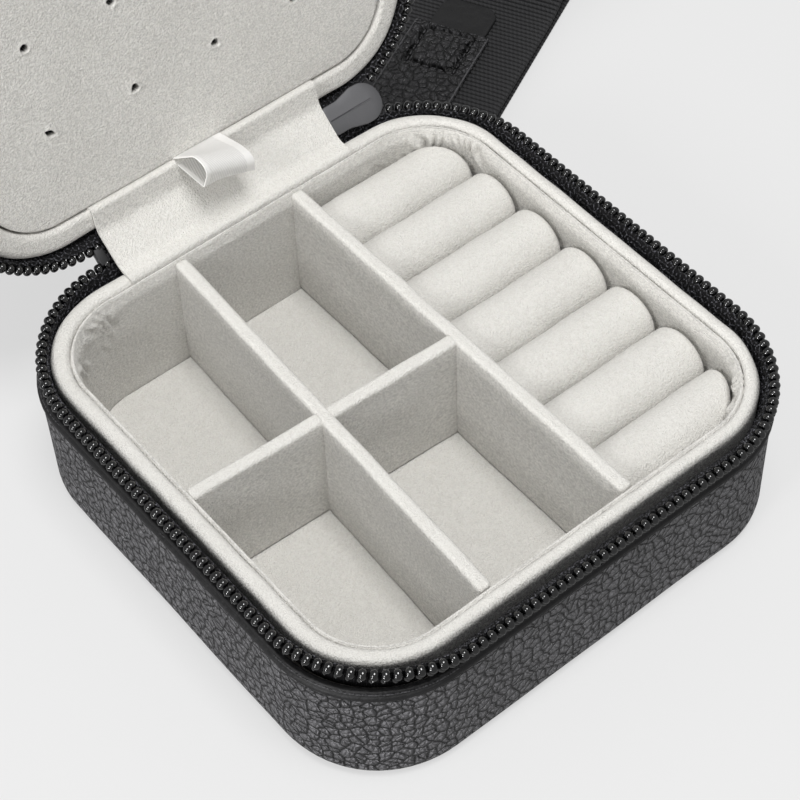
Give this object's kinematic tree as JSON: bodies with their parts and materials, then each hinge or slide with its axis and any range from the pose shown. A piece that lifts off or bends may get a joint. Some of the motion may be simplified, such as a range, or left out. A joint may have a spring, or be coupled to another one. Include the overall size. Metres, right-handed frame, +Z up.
{
  "type": "jewellery case",
  "caption": "Square zip-round leather jewellery case standing open: velvet tray with dividers and ring rolls, lid with an earring panel and ribbon pull, zip slider and carrying strap.",
  "frame": {"origin": "centre of the base's underside", "axes": "+Z up out of the tray, +X along the hinge, +Y from the front edge to the hinge"},
  "size_m": [0.1928, 0.1737, 0.1321],
  "materials": {
    "black_leather": "pebbled charcoal-black leather, low sheen",
    "grey_card": "stiff grey card, hidden inside the leather",
    "white_velvet": "short-pile off-white velvet",
    "black_tape": "woven black zip tape",
    "black_coil": "black nylon coil with small highlights",
    "gunmetal": "satin dark gunmetal plating",
    "silver_ribbon": "silver-white satin ribbon with fine diagonal ribs",
    "black_webbing": "ribbed black webbing"
  },
  "bodies": {
    "base": {"base_card": "grey_card", "base_leather": "black_leather", "base_leather_edge": "black_leather", "base_liner": "white_velvet", "base_velvet_rim": "white_velvet", "base_zip_coil": "black_coil", "base_zip_tape": "black_tape", "cross_divider_left": "white_velvet", "cross_divider_right": "white_velvet", "floor_pad": "white_velvet", "hinge_spine": "black_leather", "hinge_strip": "white_velvet", "middle_divider": "white_velvet", "ring_bed": "white_velvet", "ring_divider": "white_velvet", "ring_roll_1": "white_velvet", "ring_roll_2": "white_velvet", "ring_roll_3": "white_velvet", "ring_roll_4": "white_velvet", "ring_roll_5": "white_velvet", "ring_roll_6": "white_velvet", "ring_roll_7": "white_velvet", "slider_crown": "gunmetal", "strap_tab": "black_leather", "strap_webbing": "black_webbing", "zip_end_stop": "black_coil", "zip_slider": "gunmetal"},
    "lid": {"earring_panel": "white_velvet", "lid_card": "grey_card", "lid_leather": "black_leather", "lid_leather_edge": "black_leather", "lid_ledge": "white_velvet", "lid_lining": "white_velvet", "lid_velvet_rim": "white_velvet", "lid_zip_coil": "black_coil", "lid_zip_tape": "black_tape", "ribbon_pull": "silver_ribbon"},
    "pull": {"zip_pull": "gunmetal"}
  },
  "joints": [
    {"name": "lid_hinge", "type": "hinge", "parent": "base", "child": "lid", "pos_m": [0, 0.0512, 0.0315], "axis": [-1, 0, 0], "range_deg": [-101, 0], "deforming": ["hinge_strip", "hinge_spine"]},
    {"name": "zip_pull_swing", "type": "hinge", "parent": "base", "child": "pull", "pos_m": [0.03025, 0.05276, 0.02961], "axis": [0, 0.7716, 0.6361], "range_deg": [-75, 75]}
  ]
}
